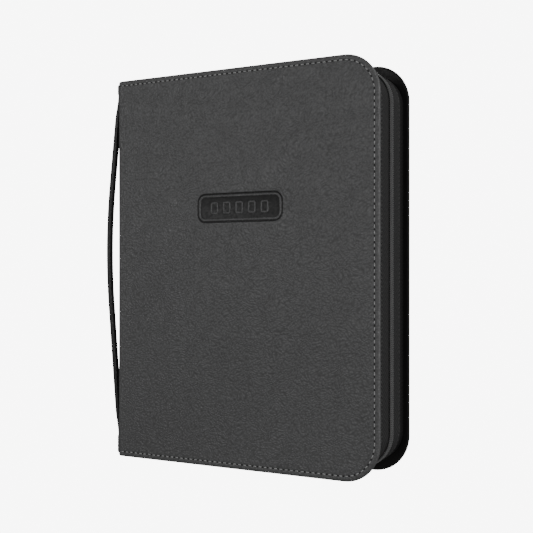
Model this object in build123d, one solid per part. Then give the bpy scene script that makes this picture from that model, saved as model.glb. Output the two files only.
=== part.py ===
from build123d import *
import math
import os

# Zip-round binder for trading cards, standing on its bottom edge.
# X runs from the spine (low) to the fore-edge (high), Y from the front cover (low) to the
# back cover (high), Z up. Millimetres. The origin is the centre of the bottom of the
# whole object, with the bowed handle strap included.

# ---- driving dimensions ----
HEIGHT = 340.0
WIDTH = 260.0
THICKNESS = 61.0
CORNER_R = 32.0            # fore-edge corners of the covers

COVER_T = 3.4              # skin + foam + board + lining
SKIN_T = 1.0
FOAM_T = 0.6
LINING_T = 0.4
TURNED_EDGE = 1.2          # width of the skin turned over the edge of the board

HINGE_GAP = 4.0            # from the outer corner to the end of each board
HINGE_R = 2.5              # outside radius of the leather at the corner
HINGE_T = 1.0
HINGE_END_GAP = 0.5

GUSSET_T = 0.8
TAPE_T = 0.7
COIL_H = 1.6
GUSSET_SIDE_INSET = 5.0    # from the covers' fore-edge to the gusset's outer face
GUSSET_END_INSET = 9.5     # the same at the top and the bottom
GUSSET_R = 27.0
GUSSET_START = 4.5         # from the spine's outer face to where gusset and tape start
CHAIN_START = 12.0         # the same for the chain's end stops
STOP_LENGTH = 2.6
GUSSET_EDGE_Y = 15.0       # the gusset stops here, measured from the middle plane
TAPE_LAP_Y = 19.0          # the tape laps over the gusset from here
TAPE_EDGE_Y = 1.6
COIL_OUT_Y = 3.4
COIL_IN_Y = 0.1

STRAP_T = 3.2
STRAP_W = 4.4
STRAP_Y = -25.5            # the strap runs along the front edge of the spine
STRAP_APEX = 14.5          # where the strap's two straight runs would meet
STRAP_PEAK_Z = 192.0
STRAP_TOP_Z = 324.0
STRAP_BOTTOM_Z = 23.0
STRAP_END_GAP = 3.0
STRAP_PEAK_R = 560.0
STRAP_FOOT_R = 60.0
PATCH_T = 0.5
PATCH_W = 5.0

PAGE_COUNT = 20
PAGE_PITCH = 2.5
PAGE_T = 1.2
STUB_T = 0.25
STUB_LENGTH = 10.0
PAGE_LENGTH = 232.0        # from the leaf's fold to its outer edge
PAGE_BOTTOM_Z = 22.0
PAGE_TOP_Z = 318.0
PAGE_CORNER_R = 5.0
FOLD_GAP = 0.2

BLOCK_DEPTH = 7.0          # how far the clamped page roots stand off the spine
ROOT_T = 0.3
BAR_T = 1.5
POST_R = 1.5
POST_CLEARANCE = 0.1
POST_HEAD_R = 3.0
POST_HEAD_T = 0.8
POST_HEIGHTS = (50.0, 130.0, 210.0, 290.0)

BADGE_W = 85.0
BADGE_H = 25.0
BADGE_R = 8.0
BADGE_Z = 221.5
BADGE_DEPTH = 0.35
BADGE_LINE = 1.3
BADGE_MARGIN = 1.6
BADGE_CARDS = 5
BADGE_CARD_W = 7.6
BADGE_CARD_H = 10.4
BADGE_CARD_PITCH = 12.5

SLIDER_FROM_SPINE = 24.0
SLIDER_LENGTH = 14.0
SLIDER_HALF_W = 5.0
SLIDER_PLATE_T = 1.2
SLIDER_GAP = 0.3
SLIDER_FLANGE_T = 0.8
POST_HALF_W = 1.2          # the wedge between the slider's two plates
BRIDGE_HALF_LENGTH = 4.0
BRIDGE_HALF_W = 1.2
BRIDGE_T = 1.1
BRIDGE_RISE = 2.0
PULL_BAR_R = 0.7
PULL_T = 1.2
PULL_SLOT_LENGTH = 6.0
PULL_SLOT_HALF_W = 2.0
PULL_HALF_W = 4.0
PULL_LENGTH = 30.0

# ---- derived positions ----
UPPER_SLOPE = math.atan2(STRAP_APEX, STRAP_TOP_Z - STRAP_PEAK_Z)
LOWER_SLOPE = math.atan2(STRAP_APEX, STRAP_PEAK_Z - STRAP_BOTTOM_Z)
HALF_TURN = (UPPER_SLOPE + LOWER_SLOPE) / 2
HALF_TILT = (UPPER_SLOPE - LOWER_SLOPE) / 2
PEAK_CUT = STRAP_PEAK_R * (math.cos(HALF_TILT) / math.cos(HALF_TURN) - 1)
STRAP_GAP = STRAP_APEX - PEAK_CUT      # widest space between strap and spine
STRAP_OUT = STRAP_GAP + STRAP_T
X_SPINE = STRAP_OUT / 2 - WIDTH / 2
X_FORE = X_SPINE + WIDTH
X_MIDDLE = (X_SPINE + X_FORE) / 2
Y_OUT = THICKNESS / 2
SPINE_HALF_W = Y_OUT - HINGE_GAP
BLOCK_X = X_SPINE + COVER_T
FOLD_X = BLOCK_X + BLOCK_DEPTH + FOLD_GAP
FIRST_PAGE_Y = -PAGE_PITCH * (PAGE_COUNT - 1) / 2
TAPE_OUT_Z = HEIGHT - GUSSET_END_INSET + TAPE_T
TAPE_IN_Z = HEIGHT - GUSSET_END_INSET
SLIDER_X = X_SPINE + SLIDER_FROM_SPINE
PLATE_Z = TAPE_OUT_Z + COIL_H + SLIDER_GAP
PULL_AXIS_Z = PLATE_Z + SLIDER_PLATE_T + BRIDGE_RISE / 2


def slab(x0, x1, y0, y1, z0, z1):
    """A box given by its six faces."""
    size = Box(x1 - x0, y1 - y0, z1 - z0)
    return Pos((x0 + x1) / 2, (y0 + y1) / 2, (z0 + z1) / 2) * size


def d_face(x_left, x_right, z_low, z_high, radius):
    """Outline that is square at the spine and rounded at the fore-edge, drawn as X by Z."""
    centre = Pos((x_left + x_right) / 2, (z_low + z_high) / 2)
    outline = centre * Rectangle(x_right - x_left, z_high - z_low)
    return fillet(outline.vertices().group_by(Axis.X)[-1], radius)


def plate(face, y0, y1):
    """Give an X by Z outline its thickness, from y0 to y1."""
    low, high = min(y0, y1), max(y0, y1)
    return Rot(90, 0, 0) * (Pos(0, 0, -high) * extrude(face, high - low))


def layer(face, side, depth_a, depth_b):
    """One layer of a cover, by its depth under the outer face. side is -1 front, +1 back."""
    return plate(face, side * (Y_OUT - depth_a), side * (Y_OUT - depth_b))


# ---- covers ----

def cover_outline(inset):
    x_left = X_SPINE + HINGE_GAP + inset
    return d_face(x_left, X_FORE - inset, inset, HEIGHT - inset, CORNER_R - inset)


def cover_skin(side):
    """Outer leather with its edges turned in around the board."""
    outer = layer(cover_outline(0), side, 0, COVER_T)
    hollow = layer(cover_outline(TURNED_EDGE), side, SKIN_T, COVER_T)
    return outer - hollow


def cover_foam(side):
    return layer(cover_outline(TURNED_EDGE), side, SKIN_T, SKIN_T + FOAM_T)


def cover_board(side):
    return layer(cover_outline(TURNED_EDGE), side, SKIN_T + FOAM_T, COVER_T - LINING_T)


def cover_lining(side):
    return layer(cover_outline(TURNED_EDGE), side, COVER_T - LINING_T, COVER_T)


def badge_ring(width, height, radius, line):
    inner = RectangleRounded(width - 2 * line, height - 2 * line, radius - line)
    return RectangleRounded(width, height, radius) - inner


def badge_recess():
    """Pressed field of the badge: a raised border line and a row of raised card outlines."""
    ring_w = BADGE_W - 2 * BADGE_MARGIN
    ring_h = BADGE_H - 2 * BADGE_MARGIN
    field = RectangleRounded(BADGE_W, BADGE_H, BADGE_R)
    field -= badge_ring(ring_w, ring_h, BADGE_R - BADGE_MARGIN, BADGE_LINE)
    for index in range(BADGE_CARDS):
        place = index - (BADGE_CARDS - 1) / 2
        card = badge_ring(BADGE_CARD_W, BADGE_CARD_H, BADGE_LINE * 1.2, BADGE_LINE)
        field -= Pos(place * BADGE_CARD_PITCH, 0) * card
    return layer(Pos(X_MIDDLE, BADGE_Z) * field, -1, 0, BADGE_DEPTH)


# ---- zip band: gusset, tape and coil run round three sides ----

def zip_band(rise, thickness, side, y_a, y_b, start):
    """U-shaped band. rise is how far its outer face stands off the gusset's outer face."""
    side_inset = GUSSET_SIDE_INSET - rise
    end_inset = GUSSET_END_INSET - rise
    radius = GUSSET_R + rise
    x_left = X_SPINE + start
    x_right = X_FORE - side_inset
    outer = d_face(x_left, x_right, end_inset, HEIGHT - end_inset, radius)
    low = end_inset + thickness
    hollow = d_face(x_left - thickness, x_right - thickness, low, HEIGHT - low, radius - thickness)
    return plate(outer - hollow, side * y_a, side * y_b)


def gusset(side):
    return zip_band(0, GUSSET_T, side, Y_OUT - COVER_T, GUSSET_EDGE_Y, GUSSET_START)


def zip_tape(side):
    return zip_band(TAPE_T, TAPE_T, side, TAPE_LAP_Y, TAPE_EDGE_Y, GUSSET_START)


def zip_coil(side):
    """Closed chain, from the slider's wedge round to the lower end stop."""
    start = CHAIN_START + STOP_LENGTH + 0.4
    band = zip_band(TAPE_T + COIL_H, COIL_H, side, COIL_OUT_Y, COIL_IN_Y, start)
    ahead = slab(X_SPINE, SLIDER_X - 2, -Y_OUT, Y_OUT, HEIGHT / 2, HEIGHT)
    return band - ahead


def zip_end_stops():
    """The clips that close the two ends of the chain, sewn to the back tape."""
    x0 = X_SPINE + CHAIN_START
    x1 = x0 + STOP_LENGTH
    low = GUSSET_END_INSET - TAPE_T
    top = slab(x0, x1, COIL_IN_Y, COIL_OUT_Y, TAPE_OUT_Z, TAPE_OUT_Z + COIL_H)
    bottom = slab(x0, x1, COIL_IN_Y, COIL_OUT_Y, low - COIL_H, low)
    return Compound([top, bottom])


# ---- zip slider and its pull ----

def zip_slider():
    x0, x1 = SLIDER_X - SLIDER_LENGTH / 2, SLIDER_X + SLIDER_LENGTH / 2
    wide = SLIDER_HALF_W
    low = TAPE_IN_Z - TAPE_T - SLIDER_GAP - SLIDER_PLATE_T
    upper = slab(x0, x1, -wide, wide, PLATE_Z, PLATE_Z + SLIDER_PLATE_T)
    lower = slab(x0, x1, -wide, wide, low, low + SLIDER_PLATE_T)
    upper = fillet(upper.edges().filter_by(Axis.Z), 2.4)
    lower = fillet(lower.edges().filter_by(Axis.Z), 2.4)
    wedge = slab(x0 + 1.0, x0 + 3.6, -POST_HALF_W, POST_HALF_W, low, PLATE_Z + 0.5)
    body = upper + lower + wedge
    flange_low = PLATE_Z - COIL_H + 0.6
    for side in (-1, 1):
        ends = sorted((side * wide, side * (wide - SLIDER_FLANGE_T)))
        body += slab(x0 + 2.4, x1 - 2.4, ends[0], ends[1], flange_low, PLATE_Z + 0.5)
    top = PLATE_Z + SLIDER_PLATE_T
    arch_x = BRIDGE_HALF_LENGTH
    arch = slab(SLIDER_X - arch_x, SLIDER_X + arch_x, -BRIDGE_HALF_W, BRIDGE_HALF_W,
                top - 0.3, top + BRIDGE_RISE + BRIDGE_T)
    arch = fillet(arch.edges().filter_by(Axis.Y).group_by(Axis.Z)[-1], 1.5)
    tunnel = slab(SLIDER_X - arch_x + BRIDGE_T, SLIDER_X + arch_x - BRIDGE_T, -wide, wide,
                  top, top + BRIDGE_RISE)
    return body + (arch - tunnel)


def zip_pull():
    """Flat tab with a slot that the slider's bridge passes through, and a cross bar."""
    bar = Pos(SLIDER_X, 0, PULL_AXIS_Z) * Rot(90, 0, 0) * Cylinder(PULL_BAR_R, 2 * PULL_HALF_W - 1)
    x1 = SLIDER_X + PULL_LENGTH
    z0, z1 = PULL_AXIS_Z - PULL_T / 2, PULL_AXIS_Z + PULL_T / 2
    tab = slab(SLIDER_X, x1, -PULL_HALF_W, PULL_HALF_W, z0, z1)
    tab = fillet(tab.edges().filter_by(Axis.Z).group_by(Axis.X)[-1], 3.0)
    slot_end = SLIDER_X + PULL_SLOT_LENGTH
    tab -= slab(SLIDER_X - 1, slot_end, -PULL_SLOT_HALF_W, PULL_SLOT_HALF_W, z0, z1)
    tab -= Pos(x1 - 5.0, 0, PULL_AXIS_Z) * Cylinder(1.6, 2 * PULL_T)
    return bar + tab


# ---- spine ----

def spine_skin():
    outer = slab(X_SPINE, X_SPINE + COVER_T, -SPINE_HALF_W, SPINE_HALF_W, 0, HEIGHT)
    half = SPINE_HALF_W - TURNED_EDGE
    edge = TURNED_EDGE
    hollow = slab(X_SPINE + SKIN_T, X_SPINE + COVER_T, -half, half, edge, HEIGHT - edge)
    return outer - hollow


def spine_layer(depth_a, depth_b):
    half = SPINE_HALF_W - TURNED_EDGE
    edge = TURNED_EDGE
    return slab(X_SPINE + depth_a, X_SPINE + depth_b, -half, half, edge, HEIGHT - edge)


def hinge_leather(side):
    """Strip of leather that bends round the corner between the spine and a cover."""
    middle = Pos(X_SPINE + HINGE_GAP / 2, side * (Y_OUT - HINGE_GAP / 2))
    outer = middle * Rectangle(HINGE_GAP, HINGE_GAP)
    corner = Vector(X_SPINE, side * Y_OUT, 0)
    outer = fillet(outer.vertices().sort_by_distance(corner)[0], HINGE_R)
    inner = Pos(HINGE_T, -side * HINGE_T) * middle * Rectangle(HINGE_GAP, HINGE_GAP)
    inner_corner = corner + Vector(HINGE_T, -side * HINGE_T, 0)
    inner = fillet(inner.vertices().sort_by_distance(inner_corner)[0], HINGE_R - HINGE_T)
    strip = extrude(outer - inner, HEIGHT - 2 * HINGE_END_GAP)
    return Pos(0, 0, HINGE_END_GAP) * strip


def strap_line(x):
    """Side of the strap: flat feet on the spine and one long shallow bow between them."""
    points = [
        (x, HEIGHT - STRAP_END_GAP),
        (x, STRAP_TOP_Z),
        (x - STRAP_APEX, STRAP_PEAK_Z),
        (x, STRAP_BOTTOM_Z),
        (x, STRAP_END_GAP),
    ]
    return FilletPolyline(*points, radius=[STRAP_FOOT_R, STRAP_PEAK_R, STRAP_FOOT_R])


def handle_strap():
    inner = strap_line(X_SPINE)
    outer = strap_line(X_SPINE - STRAP_T)
    top = Line(inner @ 0, outer @ 0)
    bottom = Line(inner @ 1, outer @ 1)
    side = make_face(Curve() + [inner, outer, top, bottom])
    return plate(side, STRAP_Y - STRAP_W / 2, STRAP_Y + STRAP_W / 2)


def strap_end_patches():
    """Leather patches sewn over the strap's two feet."""
    x1 = X_SPINE - STRAP_T
    y0, y1 = STRAP_Y - PATCH_W / 2, STRAP_Y + PATCH_W / 2
    top = slab(x1 - PATCH_T, x1, y0, y1, STRAP_TOP_Z + 4, HEIGHT - STRAP_END_GAP)
    bottom = slab(x1 - PATCH_T, x1, y0, y1, STRAP_END_GAP, STRAP_BOTTOM_Z - 4)
    return Compound([top, bottom])


# ---- page binding: clamped roots, spacers, bars and screw posts ----

def page_y(index):
    return FIRST_PAGE_Y + index * PAGE_PITCH


def post_holes():
    reach = 2 * Y_OUT
    x = BLOCK_X + BLOCK_DEPTH / 2
    bore = Rot(90, 0, 0) * Cylinder(POST_R + POST_CLEARANCE, reach)
    return [Pos(x, 0, z) * bore for z in POST_HEIGHTS]


def block_strip(y0, y1):
    strip = slab(BLOCK_X, BLOCK_X + BLOCK_DEPTH, y0, y1, PAGE_BOTTOM_Z, PAGE_TOP_Z)
    return strip - post_holes()


def page_roots():
    half = ROOT_T / 2
    return Compound([block_strip(page_y(i) - half, page_y(i) + half) for i in range(PAGE_COUNT)])


def page_spacers():
    half = ROOT_T / 2
    gaps = range(PAGE_COUNT - 1)
    return Compound([block_strip(page_y(i) + half, page_y(i + 1) - half) for i in gaps])


def binding_bar(side):
    y_in = page_y(PAGE_COUNT - 1) + ROOT_T / 2
    ends = sorted((side * y_in, side * (y_in + BAR_T)))
    return block_strip(ends[0], ends[1])


def binding_posts():
    half = page_y(PAGE_COUNT - 1) + ROOT_T / 2 + BAR_T
    x = BLOCK_X + BLOCK_DEPTH / 2
    posts = []
    for z in POST_HEIGHTS:
        post = Rot(90, 0, 0) * Cylinder(POST_R, 2 * half)
        for side in (-1, 1):
            head = Rot(90, 0, 0) * Cylinder(POST_HEAD_R, POST_HEAD_T)
            post += Pos(0, side * (half + POST_HEAD_T / 2), 0) * head
        posts.append(Pos(x, 0, z) * post)
    return Compound(posts)


def page(index):
    """One side-loading leaf: thin fold strip, then the double layer of card pockets."""
    y = page_y(index)
    stub_end = FOLD_X + STUB_LENGTH
    stub = slab(FOLD_X, stub_end, y - STUB_T / 2, y + STUB_T / 2, PAGE_BOTTOM_Z, PAGE_TOP_Z)
    outline = d_face(stub_end, FOLD_X + PAGE_LENGTH, PAGE_BOTTOM_Z, PAGE_TOP_Z, PAGE_CORNER_R)
    return stub + plate(outline, y - PAGE_T / 2, y + PAGE_T / 2)


# ---- write every piece ----

def pieces():
    made = {}
    for name, side in (("front", -1), ("back", 1)):
        made[f"{name}_cover_skin"] = cover_skin(side)
        made[f"{name}_cover_foam"] = cover_foam(side)
        made[f"{name}_cover_board"] = cover_board(side)
        made[f"{name}_cover_lining"] = cover_lining(side)
        made[f"{name}_gusset"] = gusset(side)
        made[f"{name}_zip_tape"] = zip_tape(side)
        made[f"{name}_zip_coil"] = zip_coil(side)
        made[f"{name}_hinge_leather"] = hinge_leather(side)
        made[f"{name}_binding_bar"] = binding_bar(side)
    made["front_cover_skin"] -= badge_recess()
    made["zip_end_stops"] = zip_end_stops()
    made["zip_slider"] = zip_slider()
    made["zip_pull"] = zip_pull()
    made["spine_skin"] = spine_skin()
    made["spine_board"] = spine_layer(SKIN_T, COVER_T - LINING_T)
    made["spine_lining"] = spine_layer(COVER_T - LINING_T, COVER_T)
    made["handle_strap"] = handle_strap()
    made["strap_end_patches"] = strap_end_patches()
    made["page_roots"] = page_roots()
    made["page_spacers"] = page_spacers()
    made["binding_posts"] = binding_posts()
    for index in range(PAGE_COUNT):
        made[f"page_{index + 1:02d}"] = page(index)
    return made


HINGE_OFFSET = HINGE_R * (1 - math.pi / 4)
print("hinge axes at x", round(X_SPINE + HINGE_OFFSET, 4), "y", round(Y_OUT - HINGE_OFFSET, 4))
print("page folds at x", round(FOLD_X, 4), "first y", FIRST_PAGE_Y)
print("pull axis at x", round(SLIDER_X, 4), "z", PULL_AXIS_Z)
print("cover middle at x", round(X_MIDDLE, 4), "spine face at x", round(X_SPINE, 4))

os.makedirs("parts", exist_ok=True)
for name, piece in pieces().items():
    export_step(piece, f"parts/{name}.step")
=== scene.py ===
import math
import random

import bmesh
import bpy
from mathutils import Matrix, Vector
from mathutils.geometry import tessellate_polygon


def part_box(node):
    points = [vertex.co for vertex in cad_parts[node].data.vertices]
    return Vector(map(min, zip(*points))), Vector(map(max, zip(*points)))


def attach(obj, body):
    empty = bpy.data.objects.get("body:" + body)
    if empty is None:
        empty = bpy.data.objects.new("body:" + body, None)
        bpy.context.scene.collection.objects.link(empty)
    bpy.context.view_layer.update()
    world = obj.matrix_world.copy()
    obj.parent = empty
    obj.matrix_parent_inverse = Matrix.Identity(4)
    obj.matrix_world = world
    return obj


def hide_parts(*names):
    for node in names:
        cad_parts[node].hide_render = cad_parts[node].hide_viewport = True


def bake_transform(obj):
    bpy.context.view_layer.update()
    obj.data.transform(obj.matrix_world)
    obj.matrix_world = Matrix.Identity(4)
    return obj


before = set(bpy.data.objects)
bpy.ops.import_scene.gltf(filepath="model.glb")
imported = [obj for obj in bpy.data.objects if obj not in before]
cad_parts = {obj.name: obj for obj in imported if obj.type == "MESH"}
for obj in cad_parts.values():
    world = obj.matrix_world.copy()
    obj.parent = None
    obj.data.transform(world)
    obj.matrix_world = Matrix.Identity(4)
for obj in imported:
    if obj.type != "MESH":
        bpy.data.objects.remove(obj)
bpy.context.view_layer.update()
random.seed(7)

MM = 0.001

# ---- places read from the CAD frame ----
COVER_LOW, COVER_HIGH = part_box("front_cover_skin")
SPINE_LOW, SPINE_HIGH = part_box("spine_skin")
GUSSET_LOW, GUSSET_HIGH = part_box("front_gusset")
TAPE_LOW, TAPE_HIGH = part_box("front_zip_tape")
COIL_LOW, COIL_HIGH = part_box("front_zip_coil")
BLOCK_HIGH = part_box("page_spacers")[1]
STRAP_LOW, STRAP_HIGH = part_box("handle_strap")
PATCH_LOW, PATCH_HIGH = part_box("strap_end_patches")
HEIGHT = COVER_HIGH.z
X_SPINE = SPINE_LOW.x
X_IN = COVER_LOW.x                    # where the cover's board starts, beside the hinge
X_FORE = COVER_HIGH.x
Y_OUT = -COVER_LOW.y
X_MIDDLE = (X_SPINE + X_FORE) / 2
COVER_T = COVER_HIGH.y - COVER_LOW.y
SPINE_HALF = SPINE_HIGH.y
CORNER_R = 32 * MM
HINGE_GAP = X_IN - X_SPINE
HINGE_R = 2.5 * MM
HINGE_FLAT = HINGE_GAP - HINGE_R
HINGE_ARC = HINGE_R * math.pi / 2
HINGE_PATH = 2 * HINGE_FLAT + HINGE_ARC

GUSSET_SIDE_INSET = X_FORE - GUSSET_HIGH.x
GUSSET_END_INSET = HEIGHT - GUSSET_HIGH.z
GUSSET_R = 27 * MM
GUSSET_T = 0.8 * MM
TAPE_T = TAPE_HIGH.x - GUSSET_HIGH.x
COIL_RISE = COIL_HIGH.x - TAPE_HIGH.x
COIL_HIGH_Y = -COIL_LOW.y
CHAIN_START_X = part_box("zip_slider")[0].x + 4.5 * MM    # just past the slider's wedge at rest

STITCH_INSET = 4.6 * MM
STITCH_PITCH = 5.0 * MM
STITCH_LENGTH = 3.1 * MM
STITCH_R = 0.42 * MM
STITCH_BURY = 0.45 * MM                # how far a stitch's ends dive under the surface

BADGE_W = 85 * MM
BADGE_H = 25 * MM
BADGE_R = 8 * MM
BADGE_Z = 221.5 * MM
BADGE_CARDS = 5
BADGE_CARD_W = 7.6 * MM
BADGE_CARD_H = 10.4 * MM
BADGE_CARD_PITCH = 12.5 * MM


# ---- mesh helpers ----

def new_object(name, verts, faces, materials, smooth_angle=40):
    mesh = bpy.data.meshes.new(name)
    mesh.from_pydata([tuple(v) for v in verts], [], faces)
    mesh.update()
    cleaned = bmesh.new()
    cleaned.from_mesh(mesh)
    bmesh.ops.recalc_face_normals(cleaned, faces=cleaned.faces)
    cleaned.to_mesh(mesh)
    cleaned.free()
    obj = bpy.data.objects.new(name, mesh)
    bpy.context.scene.collection.objects.link(obj)
    for material in materials:
        mesh.materials.append(material)
    mesh.polygons.foreach_set("use_smooth", [True] * len(mesh.polygons))
    mesh.set_sharp_from_angle(angle=math.radians(smooth_angle))
    return obj


def apply_modifier(obj, kind, **settings):
    modifier = obj.modifiers.new(kind.lower(), kind)
    for key, value in settings.items():
        setattr(modifier, key, value)
    depsgraph = bpy.context.evaluated_depsgraph_get()
    result = bpy.data.meshes.new_from_object(obj.evaluated_get(depsgraph))
    obj.modifiers.clear()
    obj.data = result
    return obj


def strip_faces(rows, closed=False):
    """Quads between rows of vertex indices, each row as long as the next."""
    faces = []
    for a, b in zip(rows, rows[1:]):
        count = len(a)
        for i in range(count if closed else count - 1):
            j = (i + 1) % count
            faces.append((a[i], a[j], b[j], b[i]))
    return faces


def add_row(verts, rows, points):
    """Add the points to verts and their indices to rows, as one row."""
    start = len(verts)
    verts.extend(points)
    rows.append(list(range(start, len(verts))))


def closed_tube(rows, faces):
    """Walls between closed rows, and a cap on each end."""
    faces.extend(strip_faces(rows, closed=True))
    faces.append(tuple(reversed(rows[0])))
    faces.append(tuple(rows[-1]))


def sweep(stations, section, faces, verts):
    """Carry a closed section along stations of (origin, axis_a, axis_b)."""
    rows = []
    for origin, axis_a, axis_b in stations:
        add_row(verts, rows, [origin + axis_a * a + axis_b * b for a, b in section])
    closed_tube(rows, faces)


def rounded_section(a0, a1, b0, b1, radius, steps=3):
    """Closed rectangle in (a, b) with rounded corners."""
    points = []
    corners = ((a1, b1, 0), (a0, b1, 90), (a0, b0, 180), (a1, b0, 270))
    for a, b, start in corners:
        ca = a - math.copysign(radius, a - (a0 + a1) / 2)
        cb = b - math.copysign(radius, b - (b0 + b1) / 2)
        for k in range(steps + 1):
            angle = math.radians(start + 90 * k / steps)
            points.append((ca + radius * math.cos(angle), cb + radius * math.sin(angle)))
    return points


def rounded_rect(width, height, radius, steps=8):
    return rounded_section(-width / 2, width / 2, -height / 2, height / 2, radius, steps)


# ---- the path round three sides ----

def u_path(side_inset, end_inset, radius, start, arc_steps=16):
    """Points from the spine along the top, down the fore-edge and back along the bottom.
    Each is (x, z, outward x, outward z). start is the x of both ends."""
    x1 = X_FORE - side_inset - radius
    z1 = HEIGHT - end_inset - radius
    z0 = end_inset + radius
    straight = 10 * MM
    across = max(2, round((x1 - start) / straight))
    down = max(2, round((z1 - z0) / straight))
    points = []
    for i in range(across):
        points.append((start + (x1 - start) * i / across, z1 + radius, 0.0, 1.0))
    for i in range(arc_steps + 1):
        angle = math.pi / 2 * (1 - i / arc_steps)
        nx, nz = math.cos(angle), math.sin(angle)
        points.append((x1 + radius * nx, z1 + radius * nz, nx, nz))
    for i in range(1, down):
        points.append((x1 + radius, z1 + (z0 - z1) * i / down, 1.0, 0.0))
    for i in range(arc_steps + 1):
        angle = -math.pi / 2 * i / arc_steps
        nx, nz = math.cos(angle), math.sin(angle)
        points.append((x1 + radius * nx, z0 + radius * nz, nx, nz))
    for i in range(1, across + 1):
        points.append((x1 + (start - x1) * i / across, z0 - radius, 0.0, -1.0))
    return points


def along(points, distance):
    """Place, outward normal and tangent at a distance along a path of (x, z, nx, nz)."""
    for a, b in zip(points, points[1:]):
        step = math.hypot(b[0] - a[0], b[1] - a[1])
        if distance <= step:
            t = distance / step if step else 0.0
            mixed = [a[k] + (b[k] - a[k]) * t for k in range(4)]
            size = math.hypot(mixed[2], mixed[3])
            normal = (mixed[2] / size, mixed[3] / size)
            return mixed[0], mixed[1], normal, (normal[1], -normal[0])
        distance -= step
    last = points[-1]
    return last[0], last[1], (last[2], last[3]), (last[3], -last[2])


def path_length(points):
    return sum(math.hypot(b[0] - a[0], b[1] - a[1]) for a, b in zip(points, points[1:]))


# ---- wrapping the leather round the spine corner ----

def wrap(x, z, depth, side):
    """Row-frame point of the leather. x is measured flat, so x under X_IN goes round the
    corner and on over the spine; depth is measured in from the outer face."""
    u = X_IN - x
    if u <= HINGE_FLAT:
        return Vector((x, side * (Y_OUT - depth), z))
    if u <= HINGE_FLAT + HINGE_ARC:
        angle = (u - HINGE_FLAT) / HINGE_R
        reach = HINGE_R - depth
        px = X_SPINE + HINGE_R - reach * math.sin(angle)
        py = Y_OUT - HINGE_R + reach * math.cos(angle)
        return Vector((px, side * py, z))
    over = u - HINGE_FLAT - HINGE_ARC
    return Vector((X_SPINE + depth, side * (Y_OUT - HINGE_R - over), z))


# ---- materials ----

def node_material(name):
    material = bpy.data.materials.new(name)
    material.use_nodes = True
    tree = material.node_tree
    return material, tree.nodes, tree.links, tree.nodes["Principled BSDF"]


def coordinates(nodes):
    return nodes.new("ShaderNodeTexCoord").outputs["Object"]


def noise(nodes, links, vector, scale, detail=4.0, rough=0.55):
    node = nodes.new("ShaderNodeTexNoise")
    node.inputs["Scale"].default_value = scale
    node.inputs["Detail"].default_value = detail
    node.inputs["Roughness"].default_value = rough
    links.new(vector, node.inputs["Vector"])
    return node


def ramp(nodes, links, value, stops):
    node = nodes.new("ShaderNodeValToRGB")
    elements = node.color_ramp.elements
    while len(elements) < len(stops):
        elements.new(0.5)
    for element, (place, colour) in zip(elements, stops):
        element.position = place
        element.color = (*colour, 1) if len(colour) == 3 else colour
    links.new(value, node.inputs["Fac"])
    return node


def grey(value, tint=0.0):
    return (value, value, value * (1 + tint))


def maths(nodes, links, operation, a, b):
    node = nodes.new("ShaderNodeMath")
    node.operation = operation
    for socket, value in zip(node.inputs, (a, b)):
        if isinstance(value, (int, float)):
            socket.default_value = value
        else:
            links.new(value, socket)
    return node.outputs["Value"]


def bump(nodes, links, shader, height, distance):
    node = nodes.new("ShaderNodeBump")
    node.inputs["Distance"].default_value = distance
    links.new(height, node.inputs["Height"])
    links.new(node.outputs["Normal"], shader.inputs["Normal"])


def wandering_grain(nodes, links, place):
    """Coordinates that wander a little and are stretched along one slanting direction."""
    swirl = noise(nodes, links, place, 45, 2)
    warped = nodes.new("ShaderNodeVectorMath")
    warped.operation = "MULTIPLY_ADD"
    warped.inputs[1].default_value = (0.012, 0.012, 0.012)
    links.new(swirl.outputs["Color"], warped.inputs[0])
    links.new(place, warped.inputs[2])
    stretched = nodes.new("ShaderNodeMapping")
    stretched.vector_type = "TEXTURE"
    stretched.inputs["Rotation"].default_value = (0.3, math.radians(50), 0.3)
    stretched.inputs["Scale"].default_value = (1.0, 1.0, 1.3)
    links.new(warped.outputs["Vector"], stretched.inputs["Vector"])
    return stretched.outputs["Vector"]


def leather(name, dark, light, cell=1.6, depth=0.42, specular=0.4):
    """Pebbled leather. cell is the size of a pebble and depth its relief, in millimetres."""
    material, nodes, links, shader = node_material(name)
    place = coordinates(nodes)
    grain = wandering_grain(nodes, links, place)
    cells = nodes.new("ShaderNodeTexVoronoi")
    cells.feature = "SMOOTH_F1"
    cells.inputs["Scale"].default_value = 1000 / cell
    cells.inputs["Smoothness"].default_value = 0.3
    links.new(grain, cells.inputs["Vector"])
    pebble = maths(nodes, links, "SUBTRACT", 1.0, cells.outputs["Distance"])
    wrinkle = noise(nodes, links, grain, 900 / cell, 3, 0.6)
    relief = maths(nodes, links, "MULTIPLY_ADD", wrinkle.outputs["Fac"], 0.5)
    links.new(pebble, relief.node.inputs[2])
    bump(nodes, links, shader, relief, depth * MM)
    # Painted shade: the crevices between the pebbles are coloured darker than the pebble tops.
    shade = ramp(nodes, links, cells.outputs["Distance"], [(0.25, light), (0.85, dark)])
    patches = noise(nodes, links, place, 14, 4)
    tone = ramp(nodes, links, patches.outputs["Fac"], [(0.3, grey(0.9)), (0.7, grey(1.0))])
    mix = nodes.new("ShaderNodeMix")
    mix.data_type = "RGBA"
    mix.blend_type = "MULTIPLY"
    mix.inputs["Factor"].default_value = 1.0
    links.new(shade.outputs["Color"], mix.inputs["A"])
    links.new(tone.outputs["Color"], mix.inputs["B"])
    links.new(mix.outputs["Result"], shader.inputs["Base Color"])
    rough = nodes.new("ShaderNodeMapRange")
    rough.inputs["From Min"].default_value = 0.2
    rough.inputs["From Max"].default_value = 0.9
    rough.inputs["To Min"].default_value = 0.42
    rough.inputs["To Max"].default_value = 0.62
    links.new(cells.outputs["Distance"], rough.inputs["Value"])
    links.new(rough.outputs["Result"], shader.inputs["Roughness"])
    shader.inputs["Specular IOR Level"].default_value = specular
    return material


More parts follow.
